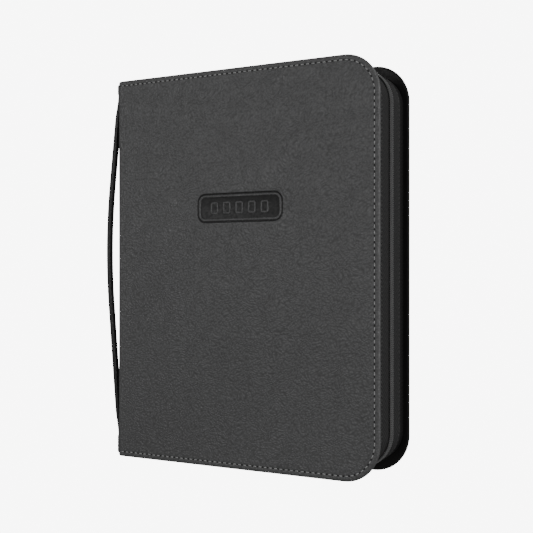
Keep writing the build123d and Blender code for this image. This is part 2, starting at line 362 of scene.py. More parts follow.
def woven(name, dark, light, threads=1.9, relief=0.10, sheen=0.25):
    """Plain weave from two crossed waves. threads is threads per millimetre."""
    material, nodes, links, shader = node_material(name)
    place = coordinates(nodes)
    heights = []
    for direction, share in (("Z", 1.0), ("DIAGONAL", 0.6)):
        wave = nodes.new("ShaderNodeTexWave")
        wave.wave_type = "BANDS"
        wave.bands_direction = direction
        wave.inputs["Scale"].default_value = threads * 1000 / math.tau * share
        wave.inputs["Distortion"].default_value = 1.2
        wave.inputs["Detail"].default_value = 1.0
        wave.inputs["Detail Scale"].default_value = 1.5
        links.new(place, wave.inputs["Vector"])
        heights.append(wave.outputs["Fac"])
    weave = maths(nodes, links, "MULTIPLY", heights[0], heights[1])
    fuzz = noise(nodes, links, place, 900, 3)
    fuzz_relief = maths(nodes, links, "MULTIPLY", fuzz.outputs["Fac"], 0.5)
    height = maths(nodes, links, "ADD", weave, fuzz_relief)
    bump(nodes, links, shader, height, relief * MM)
    # Painted shade: the low parts of the weave are coloured darker than the raised threads.
    shade = ramp(nodes, links, height, [(0.15, dark), (1.0, light)])
    links.new(shade.outputs["Color"], shader.inputs["Base Color"])
    shader.inputs["Roughness"].default_value = 0.85
    shader.inputs["Sheen Weight"].default_value = sheen
    shader.inputs["Specular IOR Level"].default_value = 0.2
    return material


def thread(name, dark, light):
    material, nodes, links, shader = node_material(name)
    place = coordinates(nodes)
    twist = nodes.new("ShaderNodeTexWave")
    twist.bands_direction = "DIAGONAL"
    twist.inputs["Scale"].default_value = 420
    twist.inputs["Distortion"].default_value = 0.6
    links.new(place, twist.inputs["Vector"])
    bump(nodes, links, shader, twist.outputs["Fac"], 0.12 * MM)
    # Painted shade: the grooves of the twist are coloured darker than its ridges.
    shade = ramp(nodes, links, twist.outputs["Fac"], [(0.1, dark), (0.7, light)])
    links.new(shade.outputs["Color"], shader.inputs["Base Color"])
    shader.inputs["Roughness"].default_value = 0.6
    shader.inputs["Sheen Weight"].default_value = 0.2
    return material


def speckled(name, dark, light, scale, roughness, metallic=0.0):
    """Moulded plastic, board, foam or enamel: mottled colour and a fine surface relief."""
    material, nodes, links, shader = node_material(name)
    place = coordinates(nodes)
    mottle = noise(nodes, links, place, scale, 5)
    shade = ramp(nodes, links, mottle.outputs["Fac"], [(0.3, dark), (0.7, light)])
    links.new(shade.outputs["Color"], shader.inputs["Base Color"])
    rough_stops = [(0.3, grey(roughness * 0.85)), (0.7, grey(roughness))]
    rough = ramp(nodes, links, mottle.outputs["Fac"], rough_stops)
    links.new(rough.outputs["Color"], shader.inputs["Roughness"])
    bump(nodes, links, shader, mottle.outputs["Fac"], 0.03 * MM)
    shader.inputs["Metallic"].default_value = metallic
    shader.inputs["Specular IOR Level"].default_value = 0.5
    return material


def clear_film():
    material, nodes, links, shader = node_material("pocket_film")
    place = coordinates(nodes)
    ripple = noise(nodes, links, place, 45, 3)
    bump(nodes, links, shader, ripple.outputs["Fac"], 0.5 * MM)
    tint = ramp(nodes, links, ripple.outputs["Fac"], [(0.3, grey(0.75)), (0.7, grey(0.9))])
    links.new(tint.outputs["Color"], shader.inputs["Base Color"])
    shader.inputs["Roughness"].default_value = 0.12
    shader.inputs["Alpha"].default_value = 0.16
    return material


MATERIALS = {
    "cover": leather("cover_leather", grey(0.035), grey(0.050, 0.02)),
    # Painted shade: near-black leather for the turned edge and inner side, which are the cover's
    # own leather lying in shade.
    "turned_edge_shade": leather("turned_edge_painted_shade", grey(0.002), grey(0.003), depth=0.1, specular=0.2),
    "pressed": leather("pressed_leather", grey(0.004), grey(0.005), depth=0.06, specular=0.25),
    "gusset": leather("gusset_leather", grey(0.003), grey(0.005), depth=0.1, specular=0.25),
    "strap": leather("strap_leather", grey(0.003), grey(0.004), cell=1.3, depth=0.07,
                     specular=0.3),
    "tape": woven("zip_tape_weave", grey(0.005), grey(0.030), sheen=0.0),
    "lining": woven("lining_weave", grey(0.010), grey(0.028), threads=1.2),
    "backing": woven("page_backing_weave", grey(0.010), grey(0.022), threads=0.9, relief=0.05),
    "coil": speckled("zip_coil_nylon", grey(0.045), grey(0.075), 700, 0.36),
    "thread": thread("edge_thread", grey(0.12), grey(0.24)),
    # Black thread for the seams, and also painted shade on the zip coil's cord between its loops.
    "black_thread_and_gap_shade": thread("black_thread_and_gap_shade", grey(0.008), grey(0.02)),
    # Painted shade: near-black lens for the dimple round each needle hole.
    "stitch_dimple_shade": speckled("stitch_dimple_painted_shade", grey(0.002), grey(0.004), 900, 0.9),
    "enamel": speckled("black_enamel", grey(0.010), grey(0.016), 500, 0.35, metallic=0.4),
    "steel": speckled("post_steel", grey(0.40), grey(0.55), 800, 0.35, metallic=1.0),
    "board": speckled("grey_board", (0.24, 0.22, 0.19), (0.34, 0.31, 0.27), 600, 0.9),
    "foam": speckled("foam", (0.55, 0.54, 0.50), (0.70, 0.69, 0.65), 1500, 0.95),
    "plastic": speckled("binding_plastic", grey(0.012), grey(0.020), 400, 0.5),
    "film": clear_film(),
}


# ---- cover leather ----

# Section of the cover's edge: (distance in from the edge, depth under the outer face), mm.
EDGE_PROFILE = [
    (14.0, 0.12), (8.0, 0.12), (6.2, 0.09), (5.4, 0.20), (4.6, 0.40), (3.8, 0.20), (3.0, 0.08),
    (2.1, 0.12), (1.3, 0.34), (0.65, 0.78), (0.2, 1.35), (0.0, 1.95), (0.12, 2.45), (0.45, 2.88),
    (1.0, 3.16), (1.8, 3.28), (6.0, 3.30), (11.5, 3.30),
]
LEATHER_T = 0.55 * MM
TURNED_FROM = 11                    # from this part of the section on, the edge is painted near-black: painted shade on the turned edge
# Section of the pressed badge, from outside its outline inwards.
BADGE_PROFILE = [
    (-1.4, 0.12), (-0.7, 0.16), (-0.1, 0.38), (0.25, 0.80), (0.6, 0.92), (1.2, 0.92), (1.4, 0.80),
    (1.55, 0.40), (1.8, 0.30), (2.8, 0.30), (3.05, 0.40), (3.2, 0.80), (3.6, 0.92),
]
BADGE_PRESSED = ((2, 6), (11, 12))  # black parts of that section; the raised line isn't black


def flat_columns(x_end):
    """Extra columns of vertices where the leather bends at the spine corner."""
    bend_start = X_IN - HINGE_FLAT
    bend_end = bend_start - HINGE_ARC
    columns = [bend_start - HINGE_ARC * i / 8 for i in range(9)]
    columns = [X_IN] + columns
    if x_end < bend_end - 1 * MM:
        steps = 6
        columns += [bend_end + (x_end - bend_end) * i / steps for i in range(1, steps + 1)]
    else:
        columns.append(x_end)
    return columns


def badge_patch(verts, faces, marks, side):
    """Pressed plate in the front cover. Returns its outer ring of vertex indices."""
    rings = []
    for inset, depth in BADGE_PROFILE:
        inset *= MM
        outline = rounded_rect(BADGE_W - 2 * inset, BADGE_H - 2 * inset, BADGE_R - inset)
        add_row(verts, rings,
                [wrap(X_MIDDLE + a, BADGE_Z + b, depth * MM, side) for a, b in outline])
    before = len(faces)
    faces.extend(strip_faces(rings, closed=True))
    per_ring = len(rings[0])
    for first, last in BADGE_PRESSED:
        marks.extend(range(before + first * per_ring, before + last * per_ring))
    marks.append(len(faces))
    faces.append(tuple(rings[-1]))
    return rings[0]


def edge_rings(verts, columns, side):
    """The cover's turned edge: one row of vertices for each point of EDGE_PROFILE."""
    rings = []
    for inset, depth in EDGE_PROFILE:
        inset *= MM
        path = u_path(inset, inset, CORNER_R - inset, X_IN)
        lead = [(x, HEIGHT - inset) for x in reversed(columns[1:])]
        tail = [(x, inset) for x in columns[1:]]
        flat = lead + [(p[0], p[1]) for p in path] + tail
        add_row(verts, rings, [wrap(x, z, depth * MM, side) for x, z in flat])
    return rings


def bending_grid(verts, inner, columns, side):
    """Columns of vertices from the top edge to the bottom edge, where the leather bends."""
    last = len(columns) - 1
    rows = 24
    inset, depth = EDGE_PROFILE[0][0] * MM, EDGE_PROFILE[0][1] * MM
    grid = []
    for k, x in enumerate(columns):
        column = [inner[last - k]]
        for r in range(1, rows):
            z = HEIGHT - inset - (HEIGHT - 2 * inset) * r / rows
            column.append(len(verts))
            verts.append(wrap(x, z, depth, side))
        column.append(inner[len(inner) - 1 - last + k])
        grid.append(column)
    return grid


def leather_sheet(side, x_end, badge):
    """Vertices and faces of a sheet, and which faces are pressed or turned under."""
    verts, faces, pressed = [], [], []
    columns = flat_columns(x_end)
    rings = edge_rings(verts, columns, side)
    faces.extend(strip_faces(rings))
    turned = range(TURNED_FROM * (len(rings[0]) - 1), len(faces))
    inner = rings[0]
    grid = bending_grid(verts, inner, columns, side)
    faces.extend(strip_faces(grid))
    last = len(columns) - 1
    loops = [inner[last:len(inner) - last] + list(reversed(grid[0][1:-1]))]
    if badge:
        loops.append(badge_patch(verts, faces, pressed, side))
    flat_loops = [[Vector((verts[i].x, verts[i].z, 0)) for i in loop] for loop in loops]
    order = [i for loop in loops for i in loop]
    faces.extend(tuple(order[i] for i in triangle) for triangle in tessellate_polygon(flat_loops))
    return verts, faces, pressed, turned


def turn_outward(mesh, side):
    """Make the faces agree, with the cover's large face looking away from the pages."""
    built = bmesh.new()
    built.from_mesh(mesh)
    bmesh.ops.recalc_face_normals(built, faces=built.faces)
    upper = [f for f in built.faces if f.calc_center_median().z > HEIGHT / 2]
    face = max((f for f in upper if abs(f.normal.y) > 0.9), key=lambda f: f.calc_area())
    if face.normal.y * side < 0:
        bmesh.ops.reverse_faces(built, faces=built.faces)
    built.to_mesh(mesh)
    built.free()


def cover_leather(name, side, x_end, badge):
    """One sheet of leather: cover face, turned edge, hinge, and for the front the spine."""
    verts, faces, pressed, turned = leather_sheet(side, x_end, badge)
    mesh = bpy.data.meshes.new(name)
    mesh.from_pydata([tuple(v) for v in verts], [], faces)
    for material in ("cover", "pressed", "turned_edge_shade"):
        mesh.materials.append(MATERIALS[material])
    for i in pressed:
        mesh.polygons[i].material_index = 1
    # The turned-under faces get the painted shade.
    for i in turned:
        mesh.polygons[i].material_index = 2
    turn_outward(mesh, side)
    obj = bpy.data.objects.new(name, mesh)
    bpy.context.scene.collection.objects.link(obj)
    apply_modifier(obj, "SOLIDIFY", thickness=LEATHER_T, offset=-1, use_rim=True)
    obj.data.polygons.foreach_set("use_smooth", [True] * len(obj.data.polygons))
    obj.data.set_sharp_from_angle(angle=math.radians(50))
    return obj


def spine_end_x():
    """Flat x at which the front leather has crossed the whole spine."""
    return X_IN - HINGE_PATH - 2 * SPINE_HALF


def make_leathers():
    front = cover_leather("front_cover_leather", -1, spine_end_x(), True)
    back = cover_leather("back_cover_leather", 1, X_IN - HINGE_PATH, False)
    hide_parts("front_cover_skin", "spine_skin", "front_hinge_leather")
    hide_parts("back_cover_skin", "back_hinge_leather")
    for obj, body, y in ((front, "front_cover", -1), (back, "back_cover", 1)):
        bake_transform(obj)


# ---- badge cards ----

def make_badge_cards():
    """A row of blank card outlines raised in the pressed plate."""
    section = [(0.0, 1.0), (0.08, 0.45), (0.25, 0.34), (1.2, 0.34), (1.37, 0.45), (1.45, 1.0)]
    verts, faces = [], []
    for index in range(BADGE_CARDS):
        middle = X_MIDDLE + (index - (BADGE_CARDS - 1) / 2) * BADGE_CARD_PITCH
        rings = []
        for inset, depth in section:
            inset *= MM
            outline = rounded_rect(BADGE_CARD_W - 2 * inset, BADGE_CARD_H - 2 * inset,
                                   2 * MM - inset, 4)
            y = -Y_OUT + depth * MM
            add_row(verts, rings, [Vector((middle + a, y, BADGE_Z + b)) for a, b in outline])
        faces.extend(strip_faces(rings + [rings[0]], closed=True))
    cards = new_object("badge_cards", verts, faces, [MATERIALS["cover"]], 60)
    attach(cards, "front_cover")


# ---- stitches ----

def add_stitch(verts, faces, place, ahead, out, length, radius, bury):
    """One thread stitch: a short arched tube whose ends dive into the leather."""
    across = ahead.cross(out)
    steps, sides = 6, 6
    rows = []
    for i in range(steps + 1):
        t = 2 * i / steps - 1
        centre = place + ahead * (t * length / 2) - out * (bury * t * t * t * t)
        size = radius * (1 - 0.35 * t * t)
        turns = [2 * math.pi * k / sides for k in range(sides)]
        add_row(verts, rows, [centre + across * (size * math.cos(angle))
                              + out * (0.8 * size * math.sin(angle)) for angle in turns])
    closed_tube(rows, faces)


def add_dimple_shade(verts, faces, place, ahead, out, length, width):
    """Painted shade of the dimple where the needle went through: a small dark lens, almost all of
    it sunk in.
    """
    across = ahead.cross(out)
    sides = 8
    rim = []
    for k in range(sides):
        angle = 2 * math.pi * k / sides
        rim.append(len(verts))
        verts.append(place + ahead * (length / 2 * math.cos(angle))
                     + across * (width / 2 * math.sin(angle)))
    top = len(verts)
    verts.append(place + out * 0.05 * MM)
    low = len(verts)
    verts.append(place - out * 0.3 * MM)
    for k in range(sides):
        j = (k + 1) % sides
        faces.append((rim[k], rim[j], top))
        faces.append((rim[j], rim[k], low))


def edge_stitches(side):
    """Stitch line along the cover's top, fore-edge and bottom."""
    inset = STITCH_INSET
    path = u_path(inset, inset, CORNER_R - inset, X_IN - 1.2 * MM, arc_steps=24)
    total = path_length(path)
    count = round(total / STITCH_PITCH)
    pitch = total / count
    out = Vector((0, side, 0))
    stitches, stitch_faces, dimple_shades, dimple_shade_faces = [], [], [], []
    for i in range(count):
        x, z, normal, tangent = along(path, (i + 0.5) * pitch)
        ahead = Vector((tangent[0], 0, tangent[1]))
        slant = random.uniform(-0.05, 0.05)
        ahead = (ahead + Vector((normal[0], 0, normal[1])) * slant).normalized()
        place = Vector((x, side * (Y_OUT - 0.20 * MM), z))
        length = STITCH_LENGTH * random.uniform(0.95, 1.05)
        add_stitch(stitches, stitch_faces, place, ahead, out, length, STITCH_R, STITCH_BURY)
        # Painted shade of the needle hole's dimple, between the stitches.
        x, z, _, tangent = along(path, i * pitch)
        ahead = Vector((tangent[0], 0, tangent[1]))
        place = Vector((x, side * (Y_OUT - 0.24 * MM), z))
        add_dimple_shade(dimple_shades, dimple_shade_faces, place, ahead, out, 2.0 * MM, 1.7 * MM)
    return stitches, stitch_faces, dimple_shades, dimple_shade_faces


def make_cover_stitches():
    for name, side in (("front", -1), ("back", 1)):
        verts, faces, dimple_shades, dimple_shade_faces = edge_stitches(side)
        line = new_object(f"{name}_cover_stitching", verts, faces, [MATERIALS["thread"]], 60)
        dimple_shading = new_object(f"{name}_cover_stitch_dimple_shades", dimple_shades, dimple_shade_faces, [MATERIALS["stitch_dimple_shade"]], 60)
        for obj in (line, dimple_shading):
            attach(obj, f"{name}_cover")


def make_spine_stitches():
    """Short stitch lines across the top and the bottom of the spine."""
    verts, faces = [], []
    out = Vector((-1, 0, 0))
    ahead = Vector((0, 1, 0))
    count = round(2 * SPINE_HALF / STITCH_PITCH)
    for z in (STITCH_INSET, HEIGHT - STITCH_INSET):
        for i in range(count):
            y = -SPINE_HALF + 2 * SPINE_HALF * (i + 0.5) / count
            if PATCH_LOW.y - 1.5 * MM < y < PATCH_HIGH.y + 1.5 * MM:
                continue
            place = Vector((X_SPINE + 0.2 * MM, y, z))
            add_stitch(verts, faces, place, ahead, out, STITCH_LENGTH, STITCH_R, STITCH_BURY)
    line = new_object("spine_stitching", verts, faces, [MATERIALS["thread"]], 60)
    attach(line, "spine")


# ---- zip band ----

def gusset_section():
    """Thin leather wall, slightly bowed, from the cover's inner face under the tape."""
    y_cover = Y_OUT - COVER_T
    y_edge = -GUSSET_HIGH.y
    steps = 8
    outer, inner = [], []
    for i in range(steps + 1):
        t = i / steps
        y = y_cover + (y_edge - y_cover) * t
        bow = 0.35 * MM * math.sin(math.pi * t)
        outer.append((bow, y))
        inner.append((bow - GUSSET_T, y))
    return outer + list(reversed(inner))


def make_gusset(name, side, body):
    """The leather wall between a cover and its zip tape."""
    path = u_path(GUSSET_SIDE_INSET, GUSSET_END_INSET, GUSSET_R, GUSSET_LOW.x)
    stations = []
    for x, z, nx, nz in path:
        stations.append((Vector((x, 0, z)), Vector((nx, 0, nz)), Vector((0, 1, 0))))
    section = [(a, side * b) for a, b in gusset_section()]
    verts, faces = [], []
    sweep(stations, section, faces, verts)
    band = new_object(f"{name}_gusset_band", verts, faces, [MATERIALS["gusset"]], 45)
    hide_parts(f"{name}_gusset")
    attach(band, body)


def tape_outline():
    """Half section of a zip tape: (height over the gusset, distance from the middle plane)."""
    lap, edge, t = -TAPE_LOW.y, -TAPE_HIGH.y, TAPE_T
    spans = 12
    outline = [(0.2 * t, lap), (0.55 * t, lap - 0.3 * MM)]
    for i in range(spans + 1):
        outline.append((0.72 * t, lap - 1 * MM - (lap - edge - 2 * MM) * i / spans))
    return outline + [(0.75 * t, edge + 0.4 * MM), (0.45 * t, edge)]


def make_tape(name, side, body, node):
    """Woven tape as real herringbone ribs, with a flat back."""
    rib, depth, step = 2.2 * MM, 0.22 * MM, 0.3 * MM
    outline = tape_outline()
    middle = (outline[0][1] + outline[-1][1]) / 2
    path = u_path(GUSSET_SIDE_INSET, GUSSET_END_INSET, GUSSET_R, GUSSET_LOW.x, 24)
    total = path_length(path)
    count = round(total / step)
    rows, verts, faces = [], [], []
    for i in range(count + 1):
        distance = total * i / count
        x, z, normal, _ = along(path, distance)
        places = []
        for k, (h, y) in enumerate(outline):
            if 1 < k < len(outline) - 1:
                h += depth * math.sin(2 * math.pi * (distance + abs(y - middle) * 0.8) / rib)
            places.append((h, y))
        places += [(0.03 * MM, outline[-1][1]), (0.03 * MM, outline[0][1])]
        add_row(verts, rows, [Vector((x + normal[0] * h, side * y, z + normal[1] * h))
                              for h, y in places])
    closed_tube(rows, faces)
    tape = new_object(name, verts, faces, [MATERIALS["tape"]], 70)
    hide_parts(node)
    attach(tape, body)


COIL_PITCH = 1.5 * MM
COIL_WIRE_R = 0.28 * MM
COIL_RISE_MIDDLE = TAPE_T + COIL_RISE / 2       # height of the coil's middle over the gusset
COIL_OVERLAP = 0.3 * MM                         # how far a loop reaches past the middle plane


def wind_wire(verts, faces, path, first, turns, side):
    """One nylon filament wound as a flat helix along the tape's edge."""
    turn_steps, sides = 10, 5
    out_y, in_y = COIL_HIGH_Y - 0.05 * MM, -COIL_OVERLAP
    middle_y, reach = (out_y + in_y) / 2, (out_y - in_y) / 2
    swing = COIL_RISE / 2 - COIL_WIRE_R
    angles = [2 * math.pi * k / sides for k in range(sides)]
    rows = []
    for i in range(turns * turn_steps + 1):
        turn = i / turn_steps
        c, s = math.cos(2 * math.pi * turn), math.sin(2 * math.pi * turn)
        y = middle_y + reach * math.copysign(abs(c) ** 0.7, c)
        h = COIL_RISE_MIDDLE + swing * math.copysign(abs(s) ** 0.8, s)
        x, z, normal, tangent = along(path, first + turn * COIL_PITCH)
        centre = Vector((x + normal[0] * h, side * y, z + normal[1] * h))
        outward = Vector((normal[0], 0, normal[1]))
        ahead = Vector((tangent[0], 0, tangent[1]))
        radial = (Vector((0, side * c, 0)) + outward * s).normalized()
        add_row(verts, rows, [centre + radial * (COIL_WIRE_R * math.cos(a))
                              + ahead * (COIL_WIRE_R * math.sin(a)) for a in angles])
    closed_tube(rows, faces)


def lay_cord(verts, faces, path, first, turns, side):
    """The cord that fills the coil, in black thread colour: painted shade in the gaps between the
    loops.
    """
    section = rounded_section(COIL_RISE_MIDDLE - 0.5 * MM, COIL_RISE_MIDDLE + 0.3 * MM,
                              0.7 * MM, 3.0 * MM, 0.35 * MM, 2)
    stations = []
    for i in range(turns + 1):
        x, z, normal, _ = along(path, first + i * COIL_PITCH)
        outward = Vector((normal[0], 0, normal[1]))
        stations.append((Vector((x, 0, z)), outward, Vector((0, side, 0))))
    sweep(stations, section, faces, verts)


def make_coil(name, side, body, node):
    """Half of the chain. The back half starts half a pitch on, so the loops alternate."""
    path = u_path(GUSSET_SIDE_INSET, GUSSET_END_INSET, GUSSET_R, COIL_LOW.x, 24)
    first = CHAIN_START_X - COIL_LOW.x
    turns = int((path_length(path) - first) / COIL_PITCH)
    if side > 0:
        first += COIL_PITCH / 2
    verts, faces = [], []
    wind_wire(verts, faces, path, first, turns, side)
    wire_faces = len(faces)
    lay_cord(verts, faces, path, first, turns, side)
    # The cord gets the black thread colour as painted shade between the loops.
    coil = new_object(name, verts, faces, [MATERIALS["coil"], MATERIALS["black_thread_and_gap_shade"]], 80)
    for face in coil.data.polygons[wire_faces:]:
        face.material_index = 1
    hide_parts(node)
    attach(coil, body)


def make_tape_seams(side, body, name):
    """Black stitches that hold the tape's lap on the gusset."""
    y = side * (-TAPE_LOW.y - 2.0 * MM)
    path = u_path(GUSSET_SIDE_INSET, GUSSET_END_INSET, GUSSET_R, GUSSET_LOW.x + 2 * MM)
    pitch = 3.6 * MM
    count = int(path_length(path) / pitch)
    verts, faces = [], []
    for i in range(count):
        x, z, normal, tangent = along(path, (i + 0.5) * pitch)
        out = Vector((normal[0], 0, normal[1]))
        ahead = Vector((tangent[0], 0, tangent[1]))
        place = Vector((x, y, z)) + out * (TAPE_T * 0.85)
        add_stitch(verts, faces, place, ahead, out, 2.5 * MM, 0.26 * MM, 0.3 * MM)
    seam = new_object(f"{name}_tape_seam", verts, faces, [MATERIALS["black_thread_and_gap_shade"]], 60)
    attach(seam, body)


def make_zip():
    for name, side in (("front", -1), ("back", 1)):
        body = f"{name}_cover"
        make_gusset(name, side, body)
        make_tape(f"{name}_tape_band", side, body, f"{name}_zip_tape")
        make_coil(f"{name}_coil_helix", side, body, f"{name}_zip_coil")
        make_tape_seams(side, body, name)


def bevelled_copy(node, name, body, material, width):
    """The CAD piece with its edges broken, in its own finish."""
    obj = bpy.data.objects.new(name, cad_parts[node].data.copy())
    bpy.context.scene.collection.objects.link(obj)
    built = bmesh.new()
    built.from_mesh(obj.data)
    bmesh.ops.remove_doubles(built, verts=built.verts, dist=0.005 * MM)
    bmesh.ops.dissolve_limit(built, angle_limit=math.radians(2), verts=built.verts,
                             edges=built.edges)
    built.to_mesh(obj.data)
    built.free()
    obj.data.materials.clear()
    obj.data.materials.append(MATERIALS[material])
    apply_modifier(obj, "BEVEL", width=width, segments=2, limit_method="ANGLE",
                   angle_limit=math.radians(40))
    obj.data.polygons.foreach_set("use_smooth", [True] * len(obj.data.polygons))
    obj.data.set_sharp_from_angle(angle=math.radians(35))
    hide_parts(node)
    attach(obj, body)


def make_slider():
    bevelled_copy("zip_slider", "zip_slider_body", "zip_slider", "enamel", 0.22 * MM)
    bevelled_copy("zip_pull", "zip_pull_tab", "zip_pull", "enamel", 0.2 * MM)
    bevelled_copy("zip_end_stops", "zip_stop_clips", "back_cover", "enamel", 0.25 * MM)


# ---- handle strap ----

STRAP_APEX = 14.5 * MM
STRAP_PEAK_Z = 192 * MM
STRAP_TOP_Z = 324 * MM
STRAP_BOTTOM_Z = 23 * MM
STRAP_PEAK_HALF = 54.6 * MM         # half the height of the round part of the bow
STRAP_W = 4.9 * MM
STRAP_Y = (STRAP_LOW.y + STRAP_HIGH.y) / 2
PATCH_PROUD = 2.3 * MM


def strap_offset(z):
    """How far the strap stands off the spine: two straight runs and a long round peak."""
    upper = STRAP_APEX / (STRAP_TOP_Z - STRAP_PEAK_Z)
    lower = STRAP_APEX / (STRAP_PEAK_Z - STRAP_BOTTOM_Z)
    half = STRAP_PEAK_HALF
    foot = 3.0 * MM
    if z > STRAP_PEAK_Z + half:
        return upper * smooth_positive(STRAP_TOP_Z - z, foot)
    if z < STRAP_PEAK_Z - half:
        return lower * smooth_positive(z - STRAP_BOTTOM_Z, foot)
    d = z - STRAP_PEAK_Z
    bend = (upper + lower) / (4 * half)
    tilt = (lower - upper) / 2
    middle = STRAP_APEX - half * (upper + lower) / 4
    return middle + tilt * d - bend * d * d


def strap_thickness(z):
    """Full in the bow, pressed thin where the feet are sewn down."""
    t = min(1.0, max(0.0, min(STRAP_TOP_Z - z, z - STRAP_BOTTOM_Z) / (22 * MM) + 0.1))
    return (1.9 + 1.6 * t * t * (3 - 2 * t)) * MM


def strap_frame(z):
    """Place on the line the strap follows, direction off the spine, and direction along."""
    slope = (strap_offset(z + MM) - strap_offset(z - MM)) / (2 * MM)
    place = Vector((X_SPINE - strap_offset(z), STRAP_Y, z))
    return place, Vector((-1, 0, -slope)).normalized(), Vector((-slope, 0, 1)).normalized()


def smooth_positive(value, radius):
    """max(value, 0) with a round corner."""
    return (value + math.sqrt(value * value + radius * radius)) / 2


def make_strap_seam():
    """Black stitches down the middle of the strap."""
    verts, faces = [], []
    pitch = 3.4 * MM
    for i in range(int((STRAP_TOP_Z - STRAP_BOTTOM_Z) / pitch)):
        z = STRAP_BOTTOM_Z + (i + 0.5) * pitch
        origin, out, ahead = strap_frame(z)
        place = origin + out * (strap_thickness(z) - 0.05 * MM)
        add_stitch(verts, faces, place, ahead, out, 2.3 * MM, 0.24 * MM, 0.3 * MM)
    line = new_object("carry_strap_stitching", verts, faces, [MATERIALS["black_thread_and_gap_shade"]], 60)
    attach(line, "spine")


def make_strap():
    verts, faces, rows = [], [], []
    steps = 96
    for i in range(steps + 1):
        z = STRAP_LOW.z + (STRAP_HIGH.z - STRAP_LOW.z) * i / steps
        origin, out, _ = strap_frame(z)
        inner = -min(0.6 * MM, strap_offset(z) / 3)
        section = rounded_section(inner, strap_thickness(z), -STRAP_W / 2, STRAP_W / 2, 0.8 * MM, 4)
        add_row(verts, rows, [origin + out * a + Vector((0, b, 0)) for a, b in section])
    closed_tube(rows, faces)
    strap = new_object("carry_strap", verts, faces, [MATERIALS["strap"]], 50)
    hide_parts("handle_strap")
    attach(strap, "spine")
    make_strap_seam()


def add_patch(verts, faces, z0, z1):
    """One sewn foot: a rounded plate over the end of the strap, with a broken front edge."""
    low, high = PATCH_LOW, PATCH_HIGH
    face_x = X_SPINE - PATCH_PROUD
    half_w, half_h = (high.y - low.y) / 2, (z1 - z0) / 2
    cy, cz = (low.y + high.y) / 2, (z0 + z1) / 2
    outline = rounded_section(low.y, high.y, z0, z1, 1.2 * MM, 4)
    rings = []
    for inset, x in ((0, face_x + 0.8 * MM), (0, face_x + 0.3 * MM), (0.3 * MM, face_x)):
        across, tall = 1 - inset / half_w, 1 - inset / half_h
        add_row(verts, rings, [Vector((x, cy + (a - cy) * across, cz + (b - cz) * tall))
                               for a, b in outline])
    faces.extend(strip_faces(rings, closed=True))
    faces.append(tuple(rings[0]))
    faces.append(tuple(rings[-1]))


def add_patch_seams(verts, faces, z0, z1):
    """Two lines of three stitches on one foot."""
    up = Vector((0, 0, 1))
    out = Vector((-1, 0, 0))
    per_line = 3
    for edge in (-1, 1):
        for i in range(per_line):
            z = z0 + (z1 - z0) * (i + 0.5) / per_line
            y = (PATCH_LOW.y + PATCH_HIGH.y) / 2 + edge * 1.5 * MM
            place = Vector((X_SPINE - PATCH_PROUD + 0.02 * MM, y, z))
            add_stitch(verts, faces, place, up, out, 2.4 * MM, 0.25 * MM, 0.3 * MM)


def make_strap_patches():
    verts, faces, seam, seam_faces = [], [], [], []
    beyond = 4 * MM
    spans = ((PATCH_LOW.z, STRAP_BOTTOM_Z - beyond), (STRAP_TOP_Z + beyond, PATCH_HIGH.z))
    for z0, z1 in spans:
        add_patch(verts, faces, z0, z1)
        add_patch_seams(seam, seam_faces, z0, z1)
    patches = new_object("strap_foot_patches", verts, faces, [MATERIALS["strap"]], 40)
    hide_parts("strap_end_patches")
    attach(patches, "spine")
    line = new_object("strap_foot_stitching", seam, seam_faces, [MATERIALS["black_thread_and_gap_shade"]], 60)
    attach(line, "spine")


# ---- linings ----

def make_lining(name, side, body):
    """Textile panel glued over the turned edges, inside the gusset."""
    verts, faces, rings = [], [], []
    inset_side = GUSSET_SIDE_INSET + GUSSET_T + 0.4 * MM
    inset_end = GUSSET_END_INSET + GUSSET_T + 0.4 * MM
    radius = GUSSET_R - GUSSET_T
    profile = ((0.0, 3.25), (0.0, 3.42), (0.25, 3.52), (1.2, 3.55))
    start_x = X_IN + 3.6 * MM
    for inset, depth in profile:
        inset *= MM
        path = u_path(inset_side + inset, inset_end + inset, radius - inset, start_x + inset)
        y = side * (Y_OUT - depth * MM)
        add_row(verts, rings, [Vector((x, y, z)) for x, z, _, _ in path])
    faces.extend(strip_faces(rings, closed=True))
    faces.append(tuple(rings[0]))
    faces.append(tuple(rings[-1]))
    lining = new_object(name, verts, faces, [MATERIALS["lining"]], 40)
    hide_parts(f"{body}_lining")
    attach(lining, body)


# ---- card pages ----

POCKETS = 3


def pocket_height(u, v):
    """Puff of one pocket, 0 at its welds and 1 over most of its middle."""
    return (math.sin(math.pi * u) * math.sin(math.pi * v)) ** 0.35


def add_pocket(verts, faces, corner, size, side, y):
    """One puffed pocket, from its lower corner (x, z) and its size (width, height)."""
    steps = 6
    rows = []
    for i in range(steps + 1):
        u = i / steps
        x = corner[0] + size[0] * u
        points = []
        for j in range(steps + 1):
            v = j / steps
            puff = pocket_height(u, v) * 0.32 * MM
            points.append(Vector((x, y + side * (0.02 * MM + puff), corner[1] + size[1] * v)))
        add_row(verts, rows, points)
    faces.extend(strip_faces(rows))


def make_film(index, body, side, x0, x1, z0, z1, y):
    """Clear film over nine pockets on one side of a page, welded down between them."""
    weld = 2.2 * MM
    pitch_x, pitch_z = (x1 - x0) / POCKETS, (z1 - z0) / POCKETS
    size = (pitch_x - 2 * weld, pitch_z - 2 * weld)
    verts, faces = [], []
    for column in range(POCKETS):
        for row in range(POCKETS):
            corner = (x0 + pitch_x * column + weld, z0 + pitch_z * row + weld)
            add_pocket(verts, faces, corner, size, side, y)
    film = new_object(f"page_{index:02d}_film_{'front' if side < 0 else 'back'}", verts, faces,
                      [MATERIALS["film"]], 60)
    apply_modifier(film, "SOLIDIFY", thickness=0.06 * MM, offset=-1 if side > 0 else 1)
    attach(film, body)


